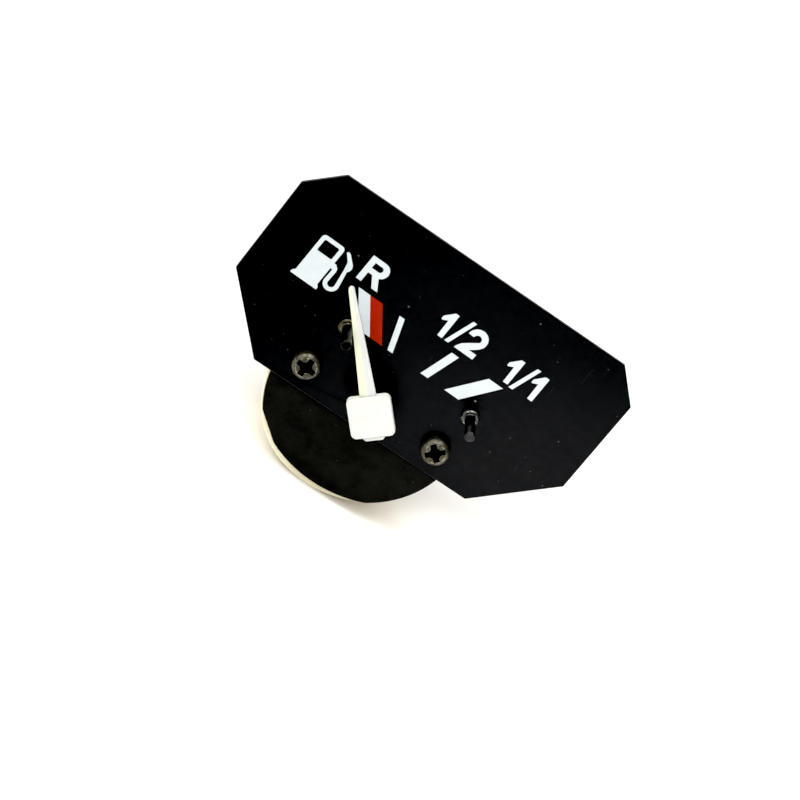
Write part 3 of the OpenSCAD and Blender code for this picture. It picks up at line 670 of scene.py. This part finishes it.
# Front disc.
# A black disc that closes the case, stamped from sheet with a flat at its lower left and a
# flatter curve along its bottom, and clamped under the dial plate by the two screws.
disc_r, disc_t = 17.6, 1.2
flat_turn, flat_out = -128.2, 16.95
low_curve_r, low_curve_x, low_curve_z = 23.2, 0.6, 6.7
shaft_hole_r = 0.9


def circle_at(x, z, r, steps=48):
    """Points on a circle in the plane of the dial."""
    turns = [2 * pi * i / steps for i in range(steps)]
    return [(x + r * cos(a), z + r * sin(a)) for a in turns]


def softened(made, width, segments=3, angle=30):
    """Edges rounded off by a small width."""
    bevel = made.modifiers.new("edges", "BEVEL")
    bevel.width = width * mm
    bevel.segments = segments
    bevel.limit_method = "ANGLE"
    bevel.angle_limit = radians(angle)
    return smooth(baked(made))


def plate_part(name, outline, holes, back, front, roll):
    """Sheet cut to an outline with holes, between two planes, its edges rolled over."""
    bm = bmesh.new()
    for loop in (outline, *holes):
        verts = [bm.verts.new(Vector((x, back, z)) * mm) for x, z in loop]
        for a, b in zip(verts, verts[1:] + verts[:1]):
            bm.edges.new((a, b))
    bmesh.ops.triangle_fill(bm, use_beauty=True, edges=bm.edges)
    grown = bmesh.ops.extrude_face_region(bm, geom=bm.faces)
    moved = [v for v in grown["geom"] if isinstance(v, bmesh.types.BMVert)]
    bmesh.ops.translate(bm, verts=moved, vec=Vector((0, front - back, 0)) * mm)
    bmesh.ops.recalc_face_normals(bm, faces=bm.faces)
    made = mesh_object(name)
    bm.to_mesh(made.data)
    bm.free()
    return softened(made, roll)


def disc_edge(steps=180):
    """The disc's outline: along each ray the nearest of circle, flat and low curve."""
    points = []
    for i in range(steps):
        a = 2 * pi * i / steps
        to_flat = flat_out / max(cos(a - radians(flat_turn)), 0.5)
        centre = low_curve_x * cos(a) + low_curve_z * sin(a)
        beside = low_curve_x ** 2 + low_curve_z ** 2 - centre ** 2
        to_low_curve = centre + sqrt(low_curve_r ** 2 - beside)
        reach = min(disc_r, to_flat, to_low_curve)
        points.append((reach * cos(a), reach * sin(a)))
    return points


screw_holes = [circle_at(*at, screw_hole_r, 32) for at in screw_places]
disc = plate_part("front_disc_sheet", disc_edge(),
                  [circle_at(pivot.x, pivot.z, shaft_hole_r, 32), *screw_holes],
                  rim_y, rim_y - disc_t, roll=0.18)
disc_finish, tree, shader = new_finish("mottled_black", Specular_IOR_Level=0.035)
place = where(tree)
blotches = ranged(tree, cloudy(tree, place, 3.5, 6, 0.62), 0.38, 0.68)
streaks = ranged(tree, cloudy(tree, place, 0.5, 4, 0.7, (0.16, 1, 1)), 0.66, 0.72)
mottled = blended(tree, blotches, (0.0068, 0.0067, 0.0058), (0.0102, 0.01, 0.0086))
mottled = blended(tree, product(tree, streaks, 0.5), mottled, (0.02, 0.021, 0.017))
mottled = blended(tree, specks(tree, place, 0.2, 1.3, 0.16), mottled, (0.06, 0.062, 0.05))
drive(tree, shader, Base_Color=mottled, Roughness=ranged(tree, blotches, 0, 1, 0.38, 0.6))
lift(tree, shader, maths(tree, "ADD", cloudy(tree, place, 0.3, 3), blotches), 0.02)
coat(disc, disc_finish)
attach(disc, "case_body")
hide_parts("front_disc")

# Dial plate.
# An octagonal aluminium plate with matte black paint on its face, cropped from sheet, so that its
# edges are bare metal. Two screws hold it to the case.
dial_back, dial_t = rim_y - disc_t, 1
dial_front = dial_back - dial_t
dial_w, dial_h, top_cut, bottom_cut = 68, 36.2, 5.5, 12
dial_mid, dial_top = 1.0, 33.1
hub_hole_r, spigot_hole_r = 2, 0.77
pin_places = {"left": (-11.9, 11.3), "right": (14.4, 10.0)}
half = dial_w / 2
octagon = [(dial_mid + x, dial_top + z) for x, z in (
    (top_cut - half, 0), (-half, -top_cut), (-half, bottom_cut - dial_h),
    (bottom_cut - half, -dial_h), (half - bottom_cut, -dial_h), (half, bottom_cut - dial_h),
    (half, -top_cut), (half - top_cut, 0))]
spigot_holes = [circle_at(*at, spigot_hole_r, 24) for at in pin_places.values()]
dial = plate_part("dial_sheet", octagon,
                  [circle_at(pivot.x, pivot.z, hub_hole_r), *screw_holes, *spigot_holes],
                  dial_back, dial_front, roll=0.1)
dial_finish, tree, shader = new_finish("dial_paint", Specular_IOR_Level=0.085)
place = where(tree)
depth = along_y(tree, place)
# Paint lighter towards its lower right as a painted sheen, a painted reflection of the table, with
# dust, hairlines and a paler lower edge.
clouds = ranged(tree, cloudy(tree, place, 1.4, 4), 0.3, 0.7)
plain_paint = blended(tree, clouds, (0.0002, 0.0003, 0.0004), (0.0008, 0.0009, 0.0011))
# Painted sheen: the lighter paint towards the lower right stands in for the table's reflection.
sheen_paint = blended(tree, clouds, (0.0014, 0.0015, 0.0018), (0.0028, 0.003, 0.0035))
painted_sheen_reach = toward(tree, place, (0, 0, 12), (0.51, 0, -0.86))
paint = blended(tree, ranged(tree, painted_sheen_reach, -3 * mm, 8 * mm), plain_paint, sheen_paint)
settled = ranged(tree, toward(tree, place, (0, 0, 12), (0.6, 0, -0.8)), -14 * mm, 10 * mm, 0.3, 1)
dusty = product(tree, ranged(tree, cloudy(tree, place, 14, 3), 0.38, 0.6, 0.3, 1), settled)
fine_dust = product(tree, specks(tree, place, 0.2, 1.1, 0.2), 0.6)
dust = maths(tree, "MAXIMUM", specks(tree, place, 0.42, 3.1, 0.42), fine_dust)
dust = product(tree, dust, dusty)
paint = blended(tree, dust, paint, (0.22, 0.235, 0.245))
hairs = ranged(tree, cloudy(tree, place, 0.45, 3, 0.6, (1, 1, 0.07)), 0.69, 0.74)
paint = blended(tree, product(tree, hairs, dusty, 0.25), paint, (0.04, 0.043, 0.048))
low_edge = toward(tree, place, (0, 0, dial_top - dial_h), (0, 0, 1))
# A paler band on the rolled lower edge.
pale_low_edge = product(tree, ranged(tree, depth, (dial_front + 0.005) * mm, (dial_front + 0.04) * mm),
                 maths(tree, "LESS_THAN", low_edge, 0.2 * mm),
                 ranged(tree, cloudy(tree, place, 3, 4), 0.3, 0.6, 0.4, 1))
paint = blended(tree, pale_low_edge, paint, (0.075, 0.076, 0.078))
# Bare metal behind the ragged end of the paint on the cut edge.
ragged = maths(tree, "ADD", depth, product(tree, cloudy(tree, place, 0.8, 4), 0.35 * mm))
bare = ranged(tree, ragged, (dial_front + 0.58) * mm, (dial_front + 0.68) * mm)
rolled = cloudy(tree, place, 0.3, 4, 0.6, (0.03, 1, 1))
stains = product(tree, ranged(tree, cloudy(tree, place, 7, 5, 0.6), 0.5, 0.66), 0.5)
aluminium = blended(tree, rolled, (0.44, 0.44, 0.45), (0.66, 0.66, 0.67))
aluminium = blended(tree, stains, aluminium, (0.36, 0.355, 0.34))
smudge = ranged(tree, ranged(tree, cloudy(tree, place, 11, 5, 0.6), 0.4, 0.7), 0, 1, 0.34, 0.44)
drive(tree, shader, Base_Color=blended(tree, bare, paint, aluminium), Metallic=bare,
      Roughness=maths(tree, "ADD", smudge, product(tree, bare, -0.06)))
relief = maths(tree, "ADD", cloudy(tree, place, 0.22, 3), product(tree, rolled, bare))
lift(tree, shader, maths(tree, "ADD", relief, product(tree, dust, 2)), 0.006)
coat(dial, dial_finish)
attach(dial, "case_body")
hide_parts("dial_plate")

# Print.
# The white marks, figures and pump sign are screen-printed in slightly bluish white ink and the
# reserve mark's other half in red, as thin films that stand a little off the paint.
inks = {
    "scale_white": ("white_ink", (0.52, 0.568, 0.58), (0.485, 0.535, 0.552)),
    "scale_red": ("red_ink", (0.274, 0.0115, 0.0004), (0.238, 0.009, 0.0004))}
for print_name, (ink_name, light_ink, dark_ink) in inks.items():
    ink, tree, shader = new_finish(ink_name, Specular_IOR_Level=0.12)
    place = where(tree)
    cover = ranged(tree, cloudy(tree, place, 1.6, 5, 0.6), 0.35, 0.7)
    pinholes = product(tree, specks(tree, place, 0.09, 0.8, 0.12), 0.5)
    tone = blended(tree, cover, light_ink, dark_ink)
    tone = blended(tree, pinholes, tone, [c * 0.4 for c in dark_ink])
    drive(tree, shader, Base_Color=tone, Roughness=ranged(tree, cover, 0, 1, 0.42, 0.56))
    lift(tree, shader, cloudy(tree, place, 0.14, 3), 0.006)
    dress(print_name, ink)

# Dial screws.
# Two M2.5 pan-head screws with a cross recess, cold-headed from steel, blackened, with the black
# worn off round the rim of the head.
head_r, head_h, crown = 2.5, 2.1, 0.945
recess_len, recess_w, recess_flare, recess_depth = 3.7, 1.04, 0.48, 1.1
shank_r, shank_len, core_r = 1.25, 7.5, 0.9
left_screw_turn, right_screw_turn = radians(4), radians(44)


def cross(length, width, flare, y):
    """The outline of a cross recess at one depth, its inner corners cut back."""
    end, side = length / 2, width / 2
    quarter = [(end, -side), (end, side), (side + flare, side), (side, side + flare)]
    return [(x * cos(a) - z * sin(a), y, x * sin(a) + z * cos(a))
            for a in (0, pi / 2, pi, 3 * pi / 2) for x, z in quarter]


crown_curve = [(head_r - crown + crown * cos(radians(a)), crown - head_h - crown * sin(radians(a)))
               for a in range(0, 91, 15)]
head = turned("screw_head", [(0, 0), (head_r - 0.15, 0), (head_r, -0.15), *crown_curve,
                             (0, -head_h)], steps=48)
recess = skin("recess", [
    cross(recess_len + 0.1, recess_w + 0.06, recess_flare, -head_h - 0.3),
    cross(recess_len, recess_w, recess_flare, -head_h),
    cross(recess_len * 0.5, recess_w * 0.62, recess_flare * 0.4, recess_depth * 0.9 - head_h),
    cross(0.04, 0.02, 0.005, recess_depth * 1.1 - head_h)])
head = softened(cut_from(head, recess), width=0.06, segments=2, angle=40)
shank = turned("screw_shank", [(0, shank_len), (core_r, shank_len), (shank_r, shank_len - 0.4),
                               (shank_r, 0), (0, 0)], steps=32)
screw = joined("screw", head, shank)
screw.data.transform(Matrix.Rotation(left_screw_turn, 4, "Y"))

pair, given = new_tree("screw pair", [
    ("Screw", "NodeSocketObject", None), ("First place", "NodeSocketVector", (0, 0, 0)),
    ("Step", "NodeSocketVector", (0, 0, 0)), ("Turn of the next", "NodeSocketFloat", 0),
    ("Count", "NodeSocketInt", 2), ("Finish", "NodeSocketMaterial", None)])
line = add_node(pair, "GeometryNodeMeshLine", {
    "Count": given["Count"], "Start Location": given["First place"], "Offset": given["Step"]})
source = add_node(pair, "GeometryNodeObjectInfo", {"Object": given["Screw"]})
index = add_node(pair, "GeometryNodeInputIndex").outputs[0]
rotation = add_node(pair, "ShaderNodeCombineXYZ", {
    "Y": product(pair, index, given["Turn of the next"])})
put_out_copies(pair, given["Finish"], Points=line.outputs[0],
               Instance=source.outputs["Geometry"], Rotation=rotation.outputs[0])

screw_finish, tree, shader = new_finish("screw_steel", Metallic=1)
place = where(tree)
_, from_axis = round_axis(tree, place, *screw_places)
front_y = dial_front - head_h
depth = along_y(tree, place)
patches = cloudy(tree, place, 0.8, 5, 0.65)
rim = product(tree, ranged(tree, from_axis, 1.7 * mm, 2.4 * mm), ranged(tree, patches, 0.42, 0.62))
worn = maths(tree, "MAXIMUM", rim, ranged(tree, patches, 0.58, 0.7))
in_recess = maths(tree, "LESS_THAN", from_axis, (recess_len / 2 + 0.02) * mm)
lips = product(tree, ranged(tree, depth, (front_y + 0.012) * mm, (front_y + 0.03) * mm), in_recess,
               ranged(tree, cloudy(tree, place, 0.7, 3), 0.5, 0.62))
# Painted shade: deep in the cross recess the steel is made nearly black.
painted_recess_shade = product(tree, ranged(tree, depth, (front_y + 0.05) * mm, (front_y + 0.16) * mm), in_recess)
blacking = ranged(tree, cloudy(tree, place, 0.5, 4), 0.4, 0.6)
steel = blended(tree, blacking, (0.05, 0.048, 0.028), (0.074, 0.07, 0.063))
steel = blended(tree, worn, steel, (0.185, 0.173, 0.125))
steel = blended(tree, lips, steel, (0.33, 0.315, 0.24))
steel = blended(tree, painted_recess_shade, steel, (0.002, 0.002, 0.002))
drive(tree, shader, Base_Color=steel, Roughness=ranged(tree, worn, 0, 1, 0.5, 0.34))
lift(tree, shader, maths(tree, "ADD", cloudy(tree, place, 0.16, 4), patches), 0.03)
(left_x, screw_z), (right_x, _) = screw_places
screws = from_tree("dial_screw_pair", pair, {
    "Screw": screw, "First place": (left_x * mm, dial_front * mm, screw_z * mm),
    "Step": ((right_x - left_x) * mm, 0, 0), "Count": len(screw_places),
    "Turn of the next": right_screw_turn - left_screw_turn, "Finish": screw_finish})
bpy.data.objects.remove(screw)
smooth(screws, angle=40)
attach(screws, "case_body")
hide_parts("dial_screws")

# Stop pins.
# Two turned pins, the left of darkened brass and the right of dark steel, with a collar at the
# foot and a cupped end, riveted into the plate by a spigot. At empty the pointer lies at the left.
pin_r, pin_h, collar_r, collar_h, spigot_r = 0.9, 7.6, 1.6, 0.9, 0.75
collar_y, end_y = dial_front - collar_h, dial_front - pin_h
pin_finishes = {"left": "pin_brass", "right": "pin_steel"}
pin_colours = {"left": ((0.028, 0.026, 0.016), (0.105, 0.098, 0.06)),
               "right": ((0.03, 0.03, 0.031), (0.1, 0.1, 0.097))}
end_colours = {"left": (0.014, 0.014, 0.0138), "right": (0.026, 0.026, 0.0265)}
cup_r, cup_depth = {"left": 0.7, "right": 0.62}, {"left": 0.45, "right": 0.1}
for side, at in pin_places.items():
    pin = smooth(turned(f"pin_{side}", [
        (0, dial_back), (spigot_r, dial_back), (spigot_r, dial_front), (collar_r - 0.1, dial_front),
        (collar_r, dial_front - 0.1), (collar_r, collar_y + 0.25), (collar_r - 0.25, collar_y),
        (pin_r + 0.12, collar_y), (pin_r, collar_y - 0.12), (pin_r, end_y + 0.12),
        (pin_r - 0.12, end_y), (cup_r[side], end_y),
        (cup_r[side] - 0.06, end_y + cup_depth[side] * 0.6), (0, end_y + cup_depth[side])],
        at, steps=48), angle=40)
    pin_finish, tree, shader = new_finish(pin_finishes[side], Metallic=1)
    place = where(tree)
    depth = along_y(tree, place)
    _, reach = round_axis(tree, place, at)
    stained = ranged(tree, cloudy(tree, place, 0.7, 5, 0.65), 0.46, 0.66)
    end = ranged(tree, depth, (end_y + 0.11) * mm, (end_y + 0.25) * mm, 0.95, 0)
    # Painted shade: inside the cupped end the metal is made nearly black.
    painted_cup_shade = product(tree, maths(tree, "LESS_THAN", reach, (cup_r[side] - 0.02) * mm),
                  ranged(tree, depth, (end_y + 0.08) * mm, (end_y + 0.2) * mm))
    flecks = product(tree, ranged(tree, cloudy(tree, place, 0.3, 3), 0.54, 0.64),
                     maths(tree, "GREATER_THAN", depth, (collar_y - 0.05) * mm))
    tone = blended(tree, stained, *pin_colours[side])
    tone = blended(tree, end, tone, end_colours[side])
    tone = blended(tree, painted_cup_shade, tone, (0.006, 0.006, 0.005))
    tone = blended(tree, flecks, tone, (0.19, 0.18, 0.14))
    drive(tree, shader, Base_Color=tone, Roughness=ranged(tree, stained, 0, 1, 0.3, 0.46))
    turning = cloudy(tree, place, 0.12, 2, 0.5, (0.05, 1, 0.05))
    dents = product(tree, cloudy(tree, place, 0.5, 3), 1.5)
    lift(tree, shader, maths(tree, "ADD", turning, dents), 0.004)
    coat(pin, pin_finish)
    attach(pin, "case_body")
    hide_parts(f"stop_pin_{side}")

# Pointer.
# Moulded in ivory plastic in one piece: a ridged arm that tapers to its tip, a square hub plate
# with a boss for the brass bush, and a short tail lip. The cap snaps over the hub plate.
pointer_len, tip_w, root_w, arm_edge, arm_up, arm_t = 23.7, 1, 2.8, 0.45, 4.45, 0.88
cap_w, cap_wall, cap_play = 7.5, 0.45, 0.02
tail_w, tail_out, tail_cut = 3.7, 0.7, 0.4
boss_r, boss_bore, boss_back = 1.8, 1.1, dial_front - 1.2
stop_gap = 0.25
under = dial_front - arm_up
arm_root, arm_end = cap_w / 2, pointer_len - tip_w / 2
arm_start, hub_round = 1.6, 0.55
pin_x, pin_z = (c - p for c, p in zip(pin_places["left"], (pivot.x, pivot.z)))
pin_reach = hypot(pin_x, pin_z)


def half_width(along):
    """Half the arm's width at a distance from the pivot."""
    return (root_w + (tip_w - root_w) * (along - arm_root) / (arm_end - arm_root)) / 2


rest_turn = atan2(pin_x, pin_z) + asin((half_width(pin_reach) + pin_r + stop_gap) / pin_reach)


def put_on_pivot(made):
    """From the pointer's own upright place to its place at rest."""
    made.data.transform(Matrix.Translation(pivot * mm) @ Matrix.Rotation(rest_turn, 4, "Y"))
    return made


def arm_section(along, w):
    """The arm's ridged section at a distance from the pivot, with half its width."""
    side = arm_t - (arm_t - arm_edge) / (root_w / 2) * w
    return [(-w, under, along), (w, under, along), (w, under - side, along),
            (0, under - arm_t, along), (-w, under - side, along)]


def rounded_square(w, r, steps=6):
    """Points round a square with rounded corners, in the plane of the dial."""
    points = []
    for i, (sx, sz) in enumerate(((1, 1), (-1, 1), (-1, -1), (1, -1))):
        for k in range(steps + 1):
            a = radians(90 * i + 90 * k / steps)
            points.append((sx * (w / 2 - r) + r * cos(a), sz * (w / 2 - r) + r * sin(a)))
    return points


taper = [arm_root + (arm_end - arm_root) * i / 8 for i in range(9)]
stations = [(arm_start, root_w / 2), *((along, half_width(along)) for along in taper)]
stations += [(arm_end + tip_w / 2 * sin(radians(a)), tip_w / 2 * cos(radians(a)))
             for a in (22, 45, 65, 82)]
arm = softened(skin("arm", [arm_section(*s) for s in stations]), width=0.1, angle=12)
hub_w = cap_w - 2 * (cap_wall + cap_play)
hub = plate_part("hub", rounded_square(hub_w, hub_round), [], under, under - arm_t, roll=0.08)
tail_side, tail_end = tail_w / 2, -cap_w / 2 - tail_out
tail = plate_part("tail", [
    (-tail_side, 0), (-tail_side, tail_end + tail_cut), (tail_cut - tail_side, tail_end),
    (tail_side - tail_cut, tail_end), (tail_side, tail_end + tail_cut), (tail_side, 0)],
    [], under, under - arm_t, roll=0.12)
boss = smooth(turned("boss", [
    (boss_bore, under), (boss_bore, boss_back), (boss_r - 0.1, boss_back),
    (boss_r, boss_back - 0.1), (boss_r, under)], steps=48))
pointer = smooth(put_on_pivot(joined("pointer_arm", arm, hub, tail, boss)))

ivory, tree, shader = new_finish(
    "ivory_plastic", Specular_IOR_Level=0.3, Subsurface_Weight=0.15,
    Subsurface_Radius=(0.0012, 0.001, 0.0007), Subsurface_Scale=0.6)
place = where(tree)
along_arm = toward(tree, place, pivot, (sin(rest_turn), 0, cos(rest_turn)))
across_arm = toward(tree, place, pivot, (cos(rest_turn), 0, -sin(rest_turn)))
# Painted shade: the arm's left facet, turned away from the light, is given a yellower tone.
painted_shade_flank = product(tree, ranged(tree, across_arm, -0.15 * mm, 0.1 * mm, 1, 0),
                     maths(tree, "GREATER_THAN", along_arm, arm_root * mm))
yellowed = ranged(tree, cloudy(tree, place, 4, 4), 0.35, 0.7)
spots = product(tree, specks(tree, place, 0.1, 1.2, 0.12), 0.35)
tone = blended(tree, yellowed, (0.547, 0.551, 0.54), (0.534, 0.532, 0.498))
tone = blended(tree, painted_shade_flank, tone, (0.585, 0.597, 0.462))
tone = blended(tree, spots, tone, (0.45, 0.4, 0.3))
gloss = ranged(tree, cloudy(tree, place, 1.5, 4), 0.3, 0.7, 0.34, 0.5)
drive(tree, shader, Base_Color=tone, Roughness=gloss)
waves = product(tree, cloudy(tree, place, 2.5, 3), 1.5)
lift(tree, shader, maths(tree, "ADD", cloudy(tree, place, 0.2, 3), waves), 0.015)
coat(pointer, ivory)
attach(pointer, "pointer_body")
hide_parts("pointer")

# Pointer bush and balance weight.
# A turned brass bush in the pointer's boss grips the shaft. A brass plate under the hub
# balances most of the arm's weight.
bush_finish = grained_metal(
    "bush_brass", (0.76, 0.58, 0.28), (0.52, 0.36, 0.17), patch=1.2, roughness=(0.2, 0.38),
    grain=(0.4, 8, 0.4))
dress("pointer_bush", bush_finish)
weight_finish = grained_metal(
    "weight_brass", (0.7, 0.54, 0.27), (0.44, 0.31, 0.15), patch=1.8, roughness=(0.26, 0.46),
    grain=(0.05, 1, 1), fine=0.2, depth=0.006)
dress("balance_weight", weight_finish)

# Pointer cap.
# A shallow square cap in the same ivory plastic, open towards the dial, pressed over the hub
# plate, with a slot in its wall where the arm comes out and another for the tail lip.
cap_round, cap_up, cap_deep = 1, 5.8, 1.4
cap_front = dial_front - cap_up
cap_rim, cap_floor = cap_front + cap_deep, cap_front + cap_wall
roll, lip_bevel, floor_bevel = 0.3, 0.04, 0.1


def cap_ring(inset, y):
    """The cap's outline, drawn in by an inset, at one depth."""
    corner_r = max(cap_round - inset, 0.3)
    return [(x, y, z) for x, z in rounded_square(cap_w - 2 * inset, corner_r)]


def cut_slot(width, reach):
    """A slot in the cap's wall, from its middle out to a reach along Z."""
    side, open_y = width / 2 + cap_play, cap_rim + 1
    corners = ((-side, open_y), (-side, cap_floor), (side, cap_floor), (side, open_y))
    cut_from(cap, skin("slot", [[(x, y, z) for x, y in corners] for z in (0, reach)]))


rolled_edge = [cap_ring(roll - roll * cos(radians(a)), cap_front + roll - roll * sin(radians(a)))
               for a in range(0, 91, 15)]
cap = skin("cap", [
    cap_ring(cap_wall + floor_bevel, cap_floor), cap_ring(cap_wall, cap_floor + floor_bevel),
    cap_ring(cap_wall, cap_rim - lip_bevel), cap_ring(cap_wall - lip_bevel, cap_rim),
    cap_ring(lip_bevel, cap_rim), cap_ring(0, cap_rim - lip_bevel), *rolled_edge])
cut_slot(root_w, cap_w)
cut_slot(tail_w, -cap_w)
cap.name = "pointer_cap_moulding"
smooth(put_on_pivot(cap), angle=32)
coat(cap, ivory)
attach(cap, "pointer_body")
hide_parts("pointer_cap")
